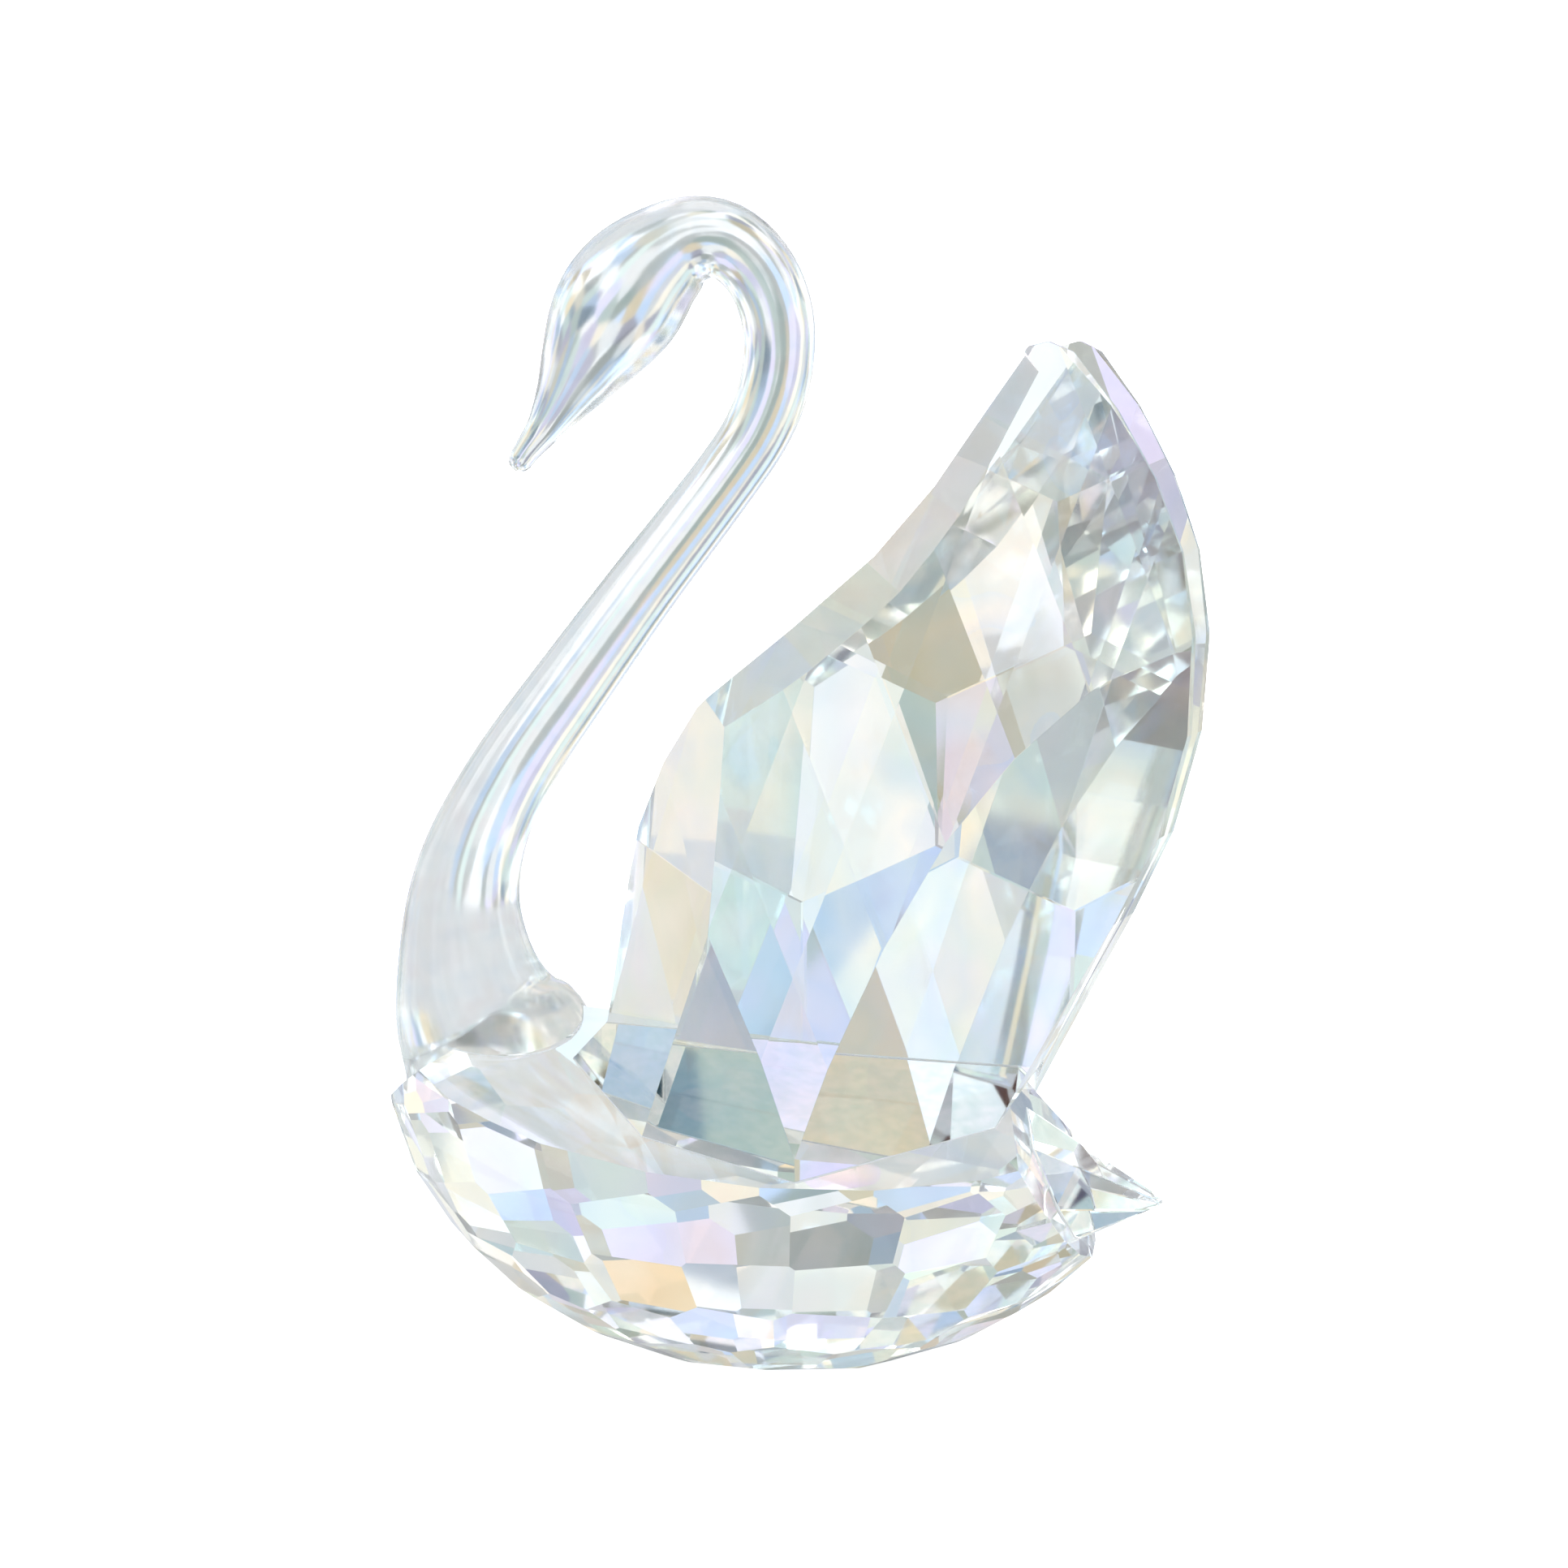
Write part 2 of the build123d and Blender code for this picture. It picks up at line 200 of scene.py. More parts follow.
@dataclass(frozen=True)
class DrawnGlass:
    """Clear lead-free glass, drawn hot, bent and fire polished.

    The eye sees a smooth rod with a faint cool tint and soft cords in the glass, left by the
    drawing.  They blur and waver what is seen through it, so its roughness is above a real
    fire polished surface's.
    """

    name: str = "drawn_clear_glass"
    ior: float = 1.52
    roughness: float = 0.14
    cord_width: float = 2.5 * MM
    cord_height: float = 0.02 * MM
    tints: tuple[tuple[float, str], ...] = ((0.3, "e9f2f7"), (0.5, "f5f8f9"), (0.7, "f4f2f3"))

    def make(self) -> bpy.types.Material:
        """Builds the material."""
        material = bpy.data.materials.new(self.name)
        material.use_nodes = True
        tree = material.node_tree
        shader = tree.nodes["Principled BSDF"]
        shader.inputs["IOR"].default_value = self.ior
        shader.inputs["Roughness"].default_value = self.roughness
        shader.inputs["Transmission Weight"].default_value = 1.0
        place = add_node(tree, "ShaderNodeTexCoord")
        cords = add_node(tree, "ShaderNodeTexNoise", {"noise_dimensions": "3D"}, {
            "Vector": place.outputs["Object"],
            "Scale": 1 / self.cord_width,
            "Detail": 1.0,
        })
        tint = add_node(tree, "ShaderNodeValToRGB", None, {"Fac": cords.outputs["Fac"]})
        set_ramp(tint, self.tints, "EASE")
        tree.links.new(tint.outputs["Color"], shader.inputs["Base Color"])
        bump = add_node(tree, "ShaderNodeBump", None, {
            "Height": cords.outputs["Fac"],
            "Distance": self.cord_height,
            "Strength": 1.0,
        })
        tree.links.new(bump.outputs["Normal"], shader.inputs["Normal"])
        return material


@dataclass(frozen=True)
class MatchedSeat:
    """A ground seat wetted by adhesive that has the glass's own refractive index.

    The eye sees straight through it, as through the inside of one block of glass.
    """

    name: str
    speck_size: float = 1.4 * MM
    tints: tuple[tuple[float, str], ...] = ((0.35, "fbfdfd"), (0.6, "ffffff"))

    def make(self) -> bpy.types.Material:
        """Builds the material."""
        material = bpy.data.materials.new(self.name)
        material.use_nodes = True
        tree = material.node_tree
        shader = tree.nodes["Principled BSDF"]
        shader.inputs["IOR"].default_value = 1.0
        shader.inputs["Roughness"].default_value = 0.0
        shader.inputs["Transmission Weight"].default_value = 1.0
        place = add_node(tree, "ShaderNodeTexCoord")
        specks = add_node(tree, "ShaderNodeTexNoise", {"noise_dimensions": "3D"}, {
            "Vector": place.outputs["Object"],
            "Scale": 1 / self.speck_size,
            "Detail": 2.0,
        })
        tint = add_node(tree, "ShaderNodeValToRGB", None, {"Fac": specks.outputs["Fac"]})
        set_ramp(tint, self.tints, "LINEAR")
        tree.links.new(tint.outputs["Color"], shader.inputs["Base Color"])
        return material


@dataclass(frozen=True)
class CuredRim:
    """The edge of a light cured adhesive film, squeezed out and wiped off.

    The eye sees a fine, bright, slightly milky line between two pieces of glass.
    """

    name: str = "cured_adhesive_rim"
    grain_size: float = 0.4 * MM
    ior: float = 1.5
    roughness: float = 0.25
    clearness: float = 0.3
    tints: tuple[tuple[float, str], ...] = ((0.3, "eef3f6"), (0.7, "ffffff"))

    def make(self) -> bpy.types.Material:
        """Builds the material."""
        material = bpy.data.materials.new(self.name)
        material.use_nodes = True
        tree = material.node_tree
        shader = tree.nodes["Principled BSDF"]
        shader.inputs["IOR"].default_value = self.ior
        shader.inputs["Roughness"].default_value = self.roughness
        shader.inputs["Transmission Weight"].default_value = self.clearness
        place = add_node(tree, "ShaderNodeTexCoord")
        grain = add_node(tree, "ShaderNodeTexNoise", {"noise_dimensions": "3D"}, {
            "Vector": place.outputs["Object"],
            "Scale": 1 / self.grain_size,
            "Detail": 2.0,
        })
        tint = add_node(tree, "ShaderNodeValToRGB", None, {"Fac": grain.outputs["Fac"]})
        set_ramp(tint, self.tints, "LINEAR")
        tree.links.new(tint.outputs["Color"], shader.inputs["Base Color"])
        return material


@dataclass(frozen=True)
class TablePaper:
    """Matt white background paper, rolled smooth.

    The eye sees an even white with only the faintest cloudiness of its fibres.  The glow is
    for the camera only: the glass sees the paper without it, as a pale grey.
    """

    name: str = "matt_white_paper"
    cloud_size: float = 30.0 * MM
    glow: float = 0.75
    roughness: float = 0.9
    tints: tuple[tuple[float, str], ...] = ((0.3, "cfcfcf"), (0.7, "d4d4d4"))

    def make(self) -> bpy.types.Material:
        """Builds the material."""
        material = bpy.data.materials.new(self.name)
        material.use_nodes = True
        tree = material.node_tree
        shader = tree.nodes["Principled BSDF"]
        shader.inputs["Roughness"].default_value = self.roughness
        shader.inputs["Specular IOR Level"].default_value = 0.0
        seen = add_node(tree, "ShaderNodeLightPath")
        glow = add_node(tree, "ShaderNodeMath", {"operation": "MULTIPLY"}, {
            0: seen.outputs["Is Camera Ray"], 1: self.glow,
        })
        shader.inputs["Emission Color"].default_value = (1.0, 1.0, 1.0, 1.0)
        tree.links.new(glow.outputs[0], shader.inputs["Emission Strength"])
        place = add_node(tree, "ShaderNodeTexCoord")
        cloud = add_node(tree, "ShaderNodeTexNoise", {"noise_dimensions": "3D"}, {
            "Vector": place.outputs["Object"],
            "Scale": 1 / self.cloud_size,
            "Detail": 3.0,
        })
        tint = add_node(tree, "ShaderNodeValToRGB", None, {"Fac": cloud.outputs["Fac"]})
        set_ramp(tint, self.tints, "LINEAR")
        tree.links.new(tint.outputs["Color"], shader.inputs["Base Color"])
        return material


# ---------------------------------------------------------------- mesh helpers
def deselect_all() -> None:
    """Leaves edit mode if need be and deselects every object."""
    if bpy.context.mode != "OBJECT":
        bpy.ops.object.mode_set(mode="OBJECT")
    bpy.ops.object.select_all(action="DESELECT")


def activate(piece: bpy.types.Object) -> None:
    """Makes one object the only selected and active one."""
    deselect_all()
    piece.select_set(True)
    bpy.context.view_layer.objects.active = piece


def edit(piece: bpy.types.Object, mode: str = "FACE") -> None:
    """Opens one object in edit mode with nothing selected.

    Args:
        piece: The mesh object to edit.
        mode: VERT, EDGE or FACE.
    """
    activate(piece)
    bpy.ops.object.mode_set(mode="EDIT")
    bpy.ops.mesh.select_mode(type=mode)
    bpy.ops.mesh.select_all(action="DESELECT")


def apply_modifier(piece: bpy.types.Object, kind: str, settings: dict) -> None:
    """Adds one modifier with its settings and applies it."""
    activate(piece)
    modifier = piece.modifiers.new(kind.lower(), kind)
    for name, value in settings.items():
        setattr(modifier, name, value)
    bpy.ops.object.modifier_apply(modifier=modifier.name)


def copy_of(node: str, name: str, weld: float = 0.0005 * MM,
            flat: float = math.radians(0.4)) -> bpy.types.Object:
    """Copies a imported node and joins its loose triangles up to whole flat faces.

    Args:
        node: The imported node's name.
        name: The new object's name.
        weld: Vertices closer than this become one.
        flat: Faces that meet at less than this angle become one.

    Returns:
        A closed mesh object with one face for each flat facet.
    """
    piece = bpy.data.objects.new(name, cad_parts[node].data.copy())
    bpy.context.scene.collection.objects.link(piece)
    piece.data.materials.clear()
    edit(piece, "VERT")
    bpy.ops.mesh.select_all(action="SELECT")
    bpy.ops.mesh.remove_doubles(threshold=weld)
    bpy.ops.mesh.dissolve_limited(angle_limit=flat)
    bpy.ops.mesh.faces_shade_flat()
    bpy.ops.object.mode_set(mode="OBJECT")
    return piece


def move(piece: bpy.types.Object, way: Vector) -> None:
    """Moves all of a mesh, in its own frame."""
    edit(piece, "VERT")
    bpy.ops.mesh.select_all(action="SELECT")
    bpy.ops.transform.translate(value=way)
    bpy.ops.object.mode_set(mode="OBJECT")


def remove(piece: bpy.types.Object) -> None:
    """Deletes a helper object."""
    bpy.data.objects.remove(piece)


@dataclass(frozen=True)
class FlatFace:
    """One broad flat face of an adhesive film."""

    point: Vector
    normal: Vector

    def faces(self, polygon: bpy.types.MeshPolygon) -> bool:
        """Whether a face of another piece lies on this one and looks at it."""
        opposite = polygon.normal.dot(self.normal) < -0.9999
        return opposite and abs((polygon.center - self.point).dot(self.normal)) < 0.005 * MM


def broad_faces(film: bpy.types.Object, smallest: float = 4 * MM * MM) -> list[FlatFace]:
    """The flat faces of a film that are too large to be part of its rim."""
    return [
        FlatFace(polygon.center.copy(), polygon.normal.copy())
        for polygon in film.data.polygons
        if polygon.area > smallest
    ]


# ---------------------------------------------------------------- adhesive
@dataclass
class BondFilm:
    """One thin film of adhesive, copied from its node.

    It settles by a hair's breadth, so that it and the two pieces of glass never share a face.
    """

    node: str
    outward: Vector = field(default_factory=lambda: Vector((0.5, 0.0, 1.0)))
    settling: float = 0.01 * MM
    piece: bpy.types.Object = field(init=False)
    seats: list[FlatFace] = field(init=False)
    inward: Vector = field(init=False)

    def build(self) -> None:
        """Makes the film's mesh and finds its broad faces and the way into the body."""
        self.piece = copy_of(self.node, f"{self.node}_film")
        self.seats = broad_faces(self.piece)
        lower = (seat.normal for seat in self.seats if seat.normal.dot(self.outward) < 0)
        self.inward = sum(lower, Vector()).normalized()

    def dress(self, matched: bpy.types.Material, rim: bpy.types.Material) -> None:
        """Gives the broad faces the matched finish and the edge the milky one.

        Args:
            matched: Finish of the broad faces.
            rim: Finish of the visible edge.
        """
        move(self.piece, self.inward * self.settling)
        for material in (rim, matched):
            self.piece.data.materials.append(material)
        for polygon in self.piece.data.polygons:
            broad = any(polygon.normal.dot(seat.normal) > 0.999 for seat in self.seats)
            polygon.material_index = Surface.SEAT.value if broad else Surface.POLISHED.value
        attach(self.piece, "root")
        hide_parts(self.node)


# ---------------------------------------------------------------- ground pieces
@dataclass
class GroundPiece:
    """A piece of crystal that is cut flat all over, with eased arrises."""

    node: str
    films: Sequence[BondFilm]
    seed: int
    pockets: bool = False
    arris: float = 0.07 * MM
    pocket_depth: float = 0.02 * MM
    sharp: float = math.radians(1.5)
    piece: bpy.types.Object = field(init=False)

    def build(self) -> None:
        """Makes the mesh: facets, seats, coat values and arrises."""
        self.piece = copy_of(self.node, f"{self.node}_crystal")
        if self.pockets:
            for film in self.films:
                self.sink(film)
        self.mark_seats()
        self.ease_arrises()
        self.coat_facets()

    def sink(self, film: BondFilm) -> None:
        """Outlines a film on this piece as a shallow pocket.

        Args:
            film: The film that the pocket is for.
        """
        cutter = bpy.data.objects.new("cutter", film.piece.data.copy())
        bpy.context.scene.collection.objects.link(cutter)
        move(cutter, film.inward * self.pocket_depth)
        for polygon in cutter.data.polygons:
            polygon.material_index = Surface.SEAT.value
        apply_modifier(self.piece, "BOOLEAN", {
            "operation": "DIFFERENCE",
            "solver": "EXACT",
            "object": cutter,
        })
        remove(cutter)

    def mark_seats(self) -> None:
        """Gives the faces that a film covers the seat's material slot.

        A piece with pockets has them marked already, by the boolean that sank them.
        """
        if self.pockets:
            return
        seats = [seat for film in self.films for seat in film.seats]
        for polygon in self.piece.data.polygons:
            if any(seat.faces(polygon) for seat in seats):
                polygon.material_index = Surface.SEAT.value

    def ease_arrises(self) -> None:
        """Bevels every sharp edge between two polished facets."""
        mesh = self.piece.data
        on_seat = set()
        for polygon in mesh.polygons:
            if polygon.material_index == Surface.SEAT.value:
                on_seat.update(polygon.vertices)
        edit(self.piece, "EDGE")
        bpy.ops.mesh.edges_select_sharp(sharpness=self.sharp)
        bpy.ops.object.mode_set(mode="OBJECT")
        for edge in mesh.edges:
            if edge.select and set(edge.vertices) & on_seat:
                edge.select = False
        bpy.ops.object.mode_set(mode="EDIT")
        bpy.ops.mesh.bevel(offset=self.arris, segments=1, clamp_overlap=True)
        bpy.ops.object.mode_set(mode="OBJECT")

    def coat_facets(self) -> None:
        """Gives each facet its own coat value, from a seeded draw."""
        draw = random.Random(self.seed)
        coat = self.piece.data.attributes.new("coat", "FLOAT", "FACE")
        for value in coat.data:
            value.value = draw.random()

    def dress(self, crystal: bpy.types.Material, seat: bpy.types.Material) -> None:
        """Gives the piece its finishes.

        Args:
            crystal: Finish of the polished facets.
            seat: Finish of the bonded seats.
        """
        for material in (crystal, seat):
            self.piece.data.materials.append(material)
        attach(self.piece, "root")
        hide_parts(self.node)


# ---------------------------------------------------------------- neck and head
@dataclass(frozen=True)
class Station:
    """One section of the neck: its centre and its half sizes."""

    x: float
    z: float
    deep: float
    wide: float


@dataclass
class DrawnNeck:
    """The neck and head, drawn as one smooth piece from the foot to the tip of the beak.

    Each row of stations gives the reach behind the breast's front and the rise above the
    body's widest level, in millimetres, then half the thickness in the middle plane and
    across it.  The first rows lie below the seat, which cuts them away.
    """

    film: BondFilm
    node: str = "neck_head"
    front: float = -35.2
    level: float = 26.4
    stations: Sequence[tuple[float, float, float, float]] = (
        (10.3, -4.6, 8.9, 7.6),
        (9.1, -0.2, 8.8, 7.5),
        (7.2, 3.5, 7.4, 6.7),
        (6.2, 7.7, 6.0, 5.8),
        (6.0, 12.4, 5.0, 5.0),
        (6.8, 16.6, 4.4, 4.5),
        (8.6, 21.0, 3.9, 4.1),
        (11.5, 25.9, 3.6, 3.7),
        (16.6, 32.9, 3.35, 3.4),
        (21.9, 40.0, 3.1, 3.1),
        (26.3, 45.6, 2.95, 2.95),
        (29.6, 49.9, 2.87, 2.87),
        (31.9, 53.3, 2.9, 2.9),
        (33.4, 56.8, 3.0, 3.0),
        (34.0, 60.6, 3.05, 3.05),
        (33.6, 64.2, 3.15, 3.15),
        (32.0, 67.5, 3.2, 3.15),
        (29.3, 69.7, 3.35, 3.2),
        (26.3, 69.8, 3.8, 3.4),
        (23.8, 68.4, 4.6, 3.8),
        (21.7, 66.5, 5.3, 4.1),
        (19.9, 64.2, 5.5, 4.2),
        (18.3, 61.8, 5.0, 3.9),
        (16.7, 59.1, 3.9, 3.2),
        (14.9, 56.1, 2.5, 2.2),
        (13.3, 53.7, 1.6, 1.5),
        (11.9, 51.9, 1.2, 1.15),
        (11.2, 50.9, 1.05, 1.0),
        (10.8, 50.4, 0.75, 0.7),
        (10.65, 50.2, 0.3, 0.3),
    )
    steps: int = 4
    round_count: int = 48
    smooth_below: float = math.radians(35)
    piece: bpy.types.Object = field(init=False)

    def smooth_stations(self) -> list[Station]:
        """The stations with more between them, on a smooth curve through all of them."""
        rows = [tuple(value * MM for value in row) for row in self.stations]
        made = []
        for index in range(len(rows) - 1):
            around = [rows[max(index - 1, 0)], rows[index], rows[index + 1],
                      rows[min(index + 2, len(rows) - 1)]]
            for step in range(self.steps):
                made.append(self.between(around, step / self.steps))
        made.append(self.between([rows[-2], rows[-1], rows[-1], rows[-1]], 0))
        return made

    def between(self, around: Sequence[tuple[float, ...]], t: float) -> Station:
        """A station on the smooth curve through four rows.

        Args:
            around: The two rows before and the two after.
            t: How far from the second row to the third.

        Returns:
            The station, placed in the swan's frame.
        """
        values = []
        for a, b, c, d in zip(*around):
            values.append(0.5 * (2 * b + (c - a) * t + (2 * a - 5 * b + 4 * c - d) * t ** 2
                                 + (3 * b - a - 3 * c + d) * t ** 3))
        return Station(self.front * MM + values[0], self.level * MM + values[1], values[2], values[3])

    def build(self) -> None:
        """Draws the blank ring by ring, closes it, smooths it and cuts its seat."""
        stations = self.smooth_stations()
        bpy.ops.object.select_all(action="DESELECT")
        bpy.ops.mesh.primitive_circle_add(vertices=self.round_count, radius=1.0, fill_type="NGON")
        self.piece = bpy.context.active_object
        self.piece.name = f"{self.node}_glass"
        self.piece.data.name = self.piece.name
        edit(self.piece, "FACE")
        bpy.ops.mesh.select_all(action="SELECT")
        first = stations[0]
        bpy.ops.transform.resize(value=(first.deep, first.wide, 1.0), center_override=(0, 0, 0))
        bpy.ops.transform.translate(value=(first.x, 0, first.z))
        lean = self.lean(stations, 0)
        self.turn(lean, first)
        for index in range(1, len(stations)):
            before, here = stations[index - 1], stations[index]
            bpy.ops.mesh.extrude_region_move()
            self.turn(-lean, before)
            bpy.ops.transform.resize(
                value=(here.deep / before.deep, here.wide / before.wide, 1.0),
                center_override=(before.x, 0, before.z),
            )
            bpy.ops.transform.translate(value=(here.x - before.x, 0, here.z - before.z))
            lean = self.lean(stations, index)
            self.turn(lean, here)
        bpy.ops.object.mode_set(mode="OBJECT")
        self.cut_seat()
        self.shade()

    def lean(self, stations: Sequence[Station], index: int) -> float:
        """How far a section's normal is turned from straight up, about the Y axis.

        Args:
            stations: All the sections in order.
            index: Which one.

        Returns:
            The angle in radians, from +Z towards +X.
        """
        before = stations[max(index - 1, 0)]
        after = stations[min(index + 1, len(stations) - 1)]
        return math.atan2(after.x - before.x, after.z - before.z)

    def turn(self, angle: float, about: Station) -> None:
        """Turns what is selected about a station's centre, from +Z towards +X.

        Args:
            angle: How far, which the operator counts the other way.
            about: The station.
        """
        bpy.ops.transform.rotate(value=-angle, orient_axis="Y",
                                 center_override=(about.x, 0, about.z))

    def cut_seat(self) -> None:
        """Cuts the foot to the film's top faces, with a block that has the same faces."""
        low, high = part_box(self.node)
        bpy.ops.object.select_all(action="DESELECT")
        bpy.ops.mesh.primitive_cube_add(size=2 * (high[2] - low[2]), location=(low[0], 0, low[2]))
        block = bpy.context.active_object
        edit(block)
        for seat in self.film.seats:
            if seat.normal.z > 0:
                bpy.ops.mesh.select_all(action="SELECT")
                bpy.ops.mesh.bisect(plane_co=seat.point, plane_no=seat.normal,
                                    use_fill=True, clear_outer=True)
        bpy.ops.object.mode_set(mode="OBJECT")
        apply_modifier(self.piece, "BOOLEAN", {
            "operation": "DIFFERENCE",
            "solver": "EXACT",
            "object": block,
        })
        remove(block)

    def shade(self) -> None:
        """Smooths the drawn surface and marks the seat's faces."""
        activate(self.piece)
        bpy.ops.object.shade_smooth_by_angle(angle=self.smooth_below)
        for polygon in self.piece.data.polygons:
            if any(seat.faces(polygon) for seat in self.film.seats):
                polygon.material_index = Surface.SEAT.value

    def dress(self, glass: bpy.types.Material, seat: bpy.types.Material) -> None:
        """Gives the piece its finishes.

        Args:
            glass: Finish of the drawn surface.
            seat: Finish of the bonded foot.
        """
        for material in (glass, seat):
            self.piece.data.materials.append(material)
        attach(self.piece, "root")
        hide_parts(self.node)


# ---------------------------------------------------------------- studio
@dataclass(frozen=True)
class Studio:
    """A white table inside a light tent of pale sheets, and the camera.

    The sheets' sizes are in the world's own directions, where 1 is the tent's radius.
    """

    azimuth: float = math.radians(12)
    distance: float = 0.520
    height: float = 0.088
    aim: tuple[float, float, float] = (-0.0008, 0.0, 0.0498)
    lens: float = 140.0
    sensor: float = 36.0
    floor_radius: float = 0.17
    card_size: float = 0.11
    screen_size: float = 0.42
    card_tints: tuple[tuple[float, str], ...] = (
        (0.00, "c6daf4"),
        (0.15, "ffffff"),
        (0.32, "dce9e4"),
        (0.46, "fbf3e2"),
        (0.58, "ffffff"),
        (0.70, "dedaf2"),
        (0.82, "e6d6b8"),
        (0.91, "ffffff"),
    )
    card_levels: tuple[tuple[float, str], ...] = (
        (0.00, "aaaeac"),
        (0.10, "caccca"),
        (0.26, "e2e3e2"),
        (0.46, "f3f3f3"),
        (0.68, "ffffff"),
    )
    screen_levels: tuple[tuple[float, str], ...] = (
        (0.00, "c6c8c7"),
        (0.20, "e8e8e8"),
        (0.50, "ffffff"),
    )
    depth_levels: tuple[tuple[float, str], ...] = (
        (0.00, "bcbdbe"),
        (0.35, "b8b9ba"),
        (0.50, "d2d2d3"),
        (0.72, "dfdfe0"),
        (0.94, "c8c9ca"),
    )
    strength: float = 2.75
    glass_bounces: int = 24
    mirror_bounces: int = 16
    matt_bounces: int = 3

    def lay_table(self) -> None:
        """Makes the round white table top."""
        bpy.ops.object.select_all(action="DESELECT")
        bpy.ops.mesh.primitive_circle_add(vertices=128, radius=self.floor_radius, fill_type="NGON",
                                          location=(0, 0, 0))
        table = bpy.context.active_object
        table.name = "table"
        table.data.materials.append(TablePaper().make())

    def light(self) -> None:
        """Hangs the tent: pale tinted sheets to the glass, and plain white to the camera."""
        world = bpy.data.worlds.new("studio")
        bpy.context.scene.world = world
        world.use_nodes = True
        tree = world.node_tree
        background = tree.nodes["Background"]
        place = add_node(tree, "ShaderNodeTexCoord")
        axes = add_node(tree, "ShaderNodeSeparateXYZ", None, {"Vector": place.outputs["Generated"]})
        depth = add_node(tree, "ShaderNodeMapRange", None, {
            "Value": axes.outputs["Y"], "From Min": -1.0, "From Max": 1.0,
        })
        ramp = add_node(tree, "ShaderNodeValToRGB", None, {"Fac": depth.outputs["Result"]})
        set_ramp(ramp, self.depth_levels, "EASE")
        lit = ramp.outputs["Color"]
        for size, channel, stops in (
            (self.card_size, "Red", self.card_tints),
            (self.card_size, "Green", self.card_levels),
            (self.screen_size, "Blue", self.screen_levels),
        ):
            sheets = add_node(tree, "ShaderNodeTexVoronoi", {"voronoi_dimensions": "3D"}, {
                "Vector": place.outputs["Generated"], "Scale": 1 / size,
            })
            drawn = add_node(tree, "ShaderNodeSeparateColor", None, {"Color": sheets.outputs["Color"]})
            shade = add_node(tree, "ShaderNodeValToRGB", None, {"Fac": drawn.outputs[channel]})
            set_ramp(shade, stops, "CONSTANT")
            hung = add_node(tree, "ShaderNodeMix", {"data_type": "RGBA", "blend_type": "MULTIPLY"}, {
                0: 1.0, 6: lit, 7: shade.outputs["Color"],
            })
            lit = hung.outputs[2]
        seen = add_node(tree, "ShaderNodeLightPath")
        shown = add_node(tree, "ShaderNodeMix", {"data_type": "RGBA"}, {
            0: seen.outputs["Is Camera Ray"], 6: lit, 7: (1.0, 1.0, 1.0, 1.0),
        })
        tree.links.new(shown.outputs[2], background.inputs["Color"])
        background.inputs["Strength"].default_value = self.strength

    def hang_softboxes(self) -> None:
        """Adds the soft lamps that give the small hard glints."""
        for name, place, size, power in (
            ("overhead_softbox", (0.0, 0.1, 0.9), 0.5, 1.6),
            ("left_softbox", (-0.8, -0.3, 0.5), 0.3, 1.0),
            ("right_softbox", (0.8, -0.1, 0.45), 0.3, 1.0),
        ):
            lamp = bpy.data.lights.new(name, "AREA")
            lamp.shape = "SQUARE"
            lamp.size = size
            lamp.energy = power
            holder = bpy.data.objects.new(name, lamp)
            holder.location = place
            towards = Vector(self.aim) - Vector(place)
            holder.rotation_euler = towards.to_track_quat("-Z", "Y").to_euler()
            bpy.context.scene.collection.objects.link(holder)

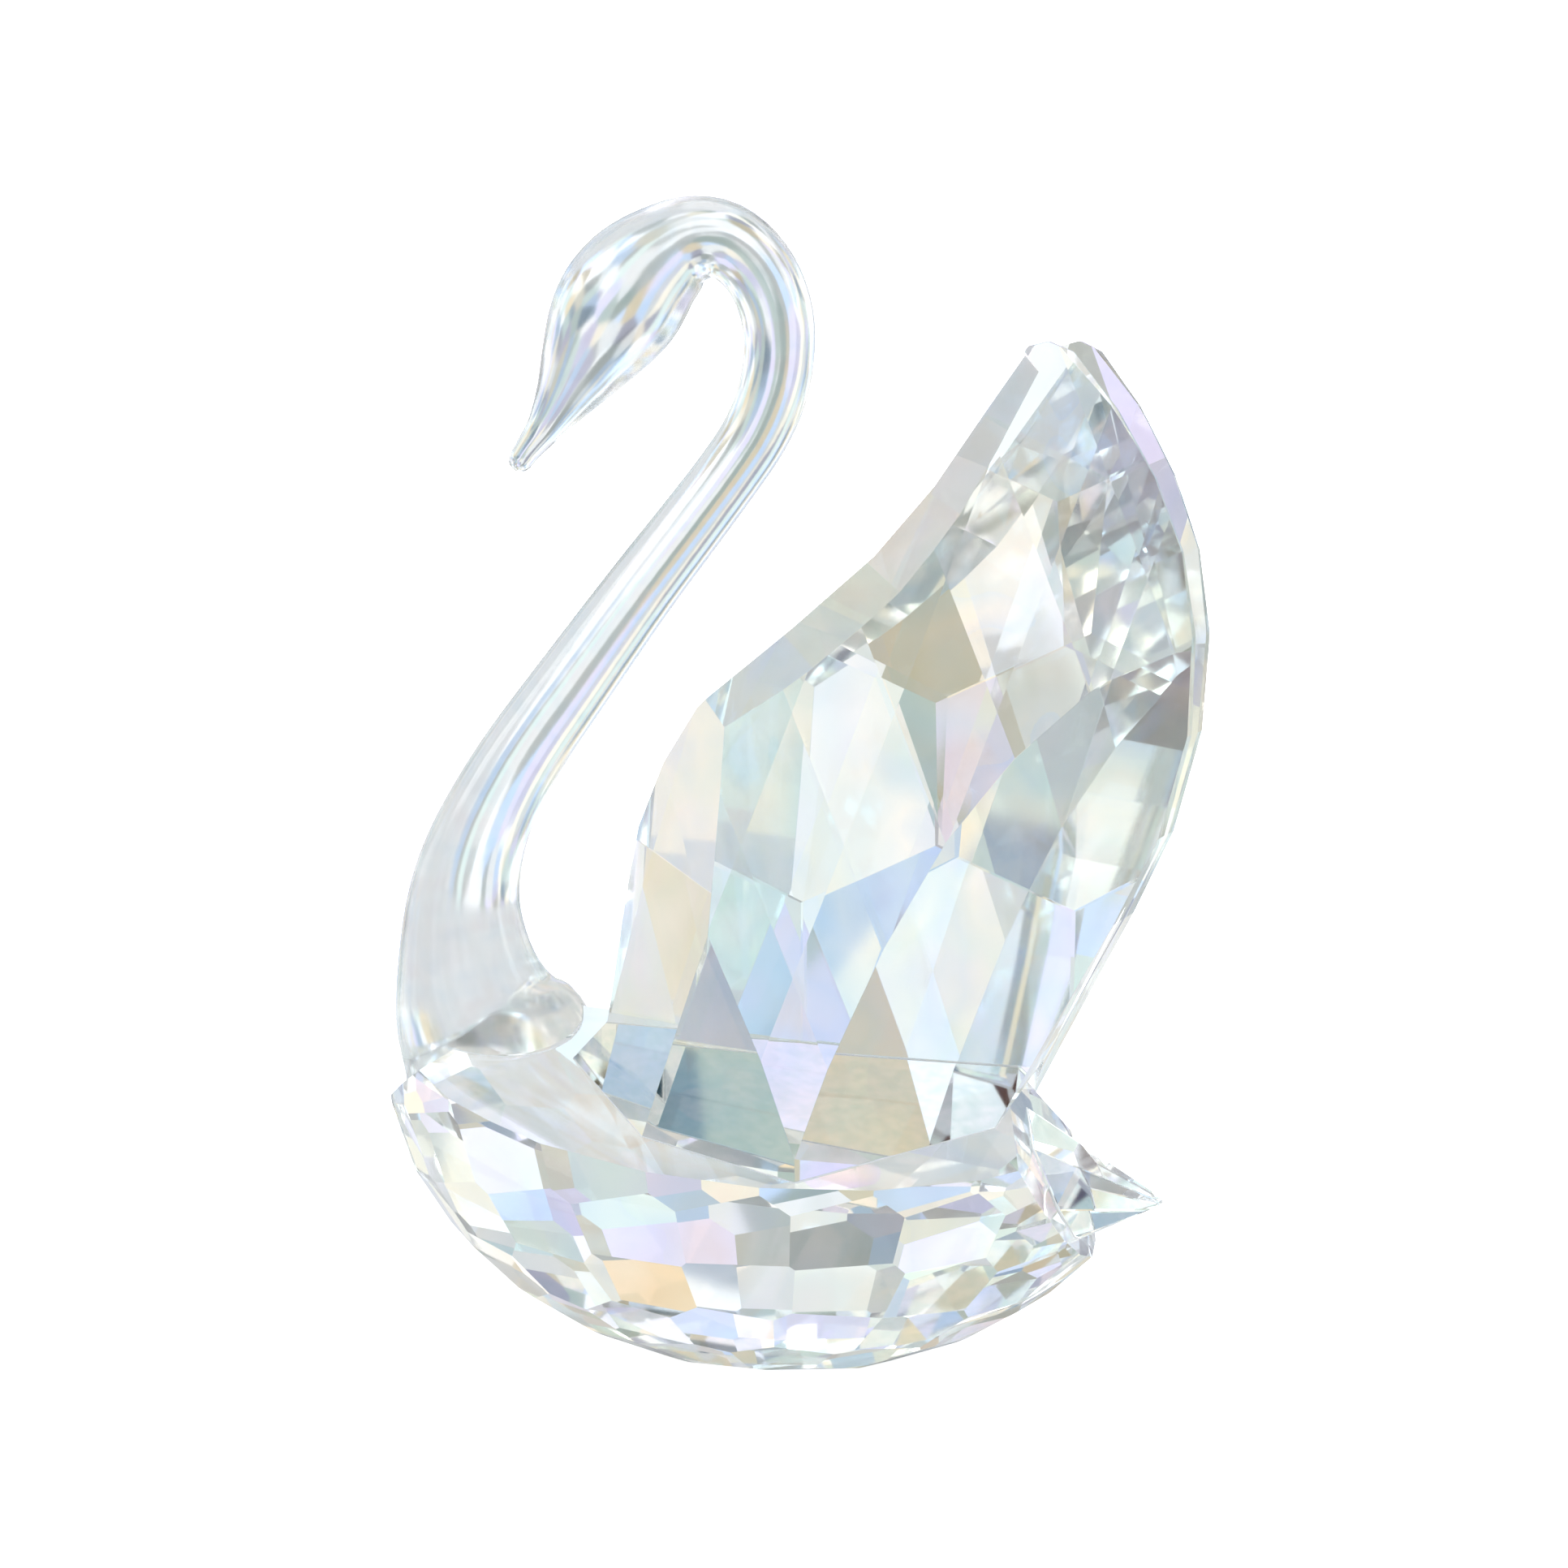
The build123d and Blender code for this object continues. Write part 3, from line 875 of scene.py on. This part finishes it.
    def set_camera(self) -> None:
        """Puts the camera at the swan's left side, a little towards its tail."""
        lens = bpy.data.cameras.new("camera")
        lens.lens = self.lens
        lens.sensor_width = self.sensor
        lens.clip_start = 0.01
        camera = bpy.data.objects.new("camera", lens)
        camera.location = (
            self.distance * math.sin(self.azimuth),
            -self.distance * math.cos(self.azimuth),
            self.height,
        )
        towards = Vector(self.aim) - camera.location
        camera.rotation_euler = towards.to_track_quat("-Z", "Y").to_euler()
        bpy.context.scene.collection.objects.link(camera)
        bpy.context.scene.camera = camera

    def set_light_paths(self) -> None:
        """Lets light pass through as many facets as it meets in thick cut glass."""
        scene = bpy.context.scene
        scene.view_settings.view_transform = "Standard"
        scene.cycles.max_bounces = self.glass_bounces
        scene.cycles.transmission_bounces = self.glass_bounces
        scene.cycles.glossy_bounces = self.mirror_bounces
        scene.cycles.diffuse_bounces = self.matt_bounces


def report(pieces: Iterable[bpy.types.Object]) -> None:
    """Logs each piece's name, faces and size."""
    for piece in pieces:
        LOG.info("%s: %d faces, %.1f x %.1f x %.1f mm", piece.name, len(piece.data.polygons),
                 *(side / MM for side in piece.dimensions))


def main() -> None:
    """Builds the films, the ground pieces, the neck and the studio, in that order."""
    logging.basicConfig(level=logging.INFO, format="%(message)s")
    crystal = CoatedCrystal().make()
    glass = DrawnGlass().make()
    crystal_seat = MatchedSeat("bonded_crystal_seat").make()
    glass_seat = MatchedSeat("bonded_glass_seat").make()
    adhesive = MatchedSeat("cured_clear_adhesive").make()
    rim = CuredRim().make()

    films = {name: BondFilm(name) for name in
             ("neck_bond", "left_wing_bond", "right_wing_bond", "tail_bond")}
    for film in films.values():
        film.build()
    ground = [
        GroundPiece("body", list(films.values()), seed=11, pockets=True),
        GroundPiece("left_wing", [films["left_wing_bond"]], seed=23),
        GroundPiece("right_wing", [films["right_wing_bond"]], seed=37),
        GroundPiece("tail", [films["tail_bond"]], seed=41),
    ]
    for part in ground:
        part.build()
        part.dress(crystal, crystal_seat)
    neck = DrawnNeck(films["neck_bond"])
    neck.build()
    neck.dress(glass, glass_seat)
    for film in films.values():
        film.dress(adhesive, rim)
    report([part.piece for part in (*ground, neck, *films.values())])

    studio = Studio()
    studio.lay_table()
    studio.light()
    studio.hang_softboxes()
    studio.set_camera()
    studio.set_light_paths()


if __name__ == "__main__":
    main()
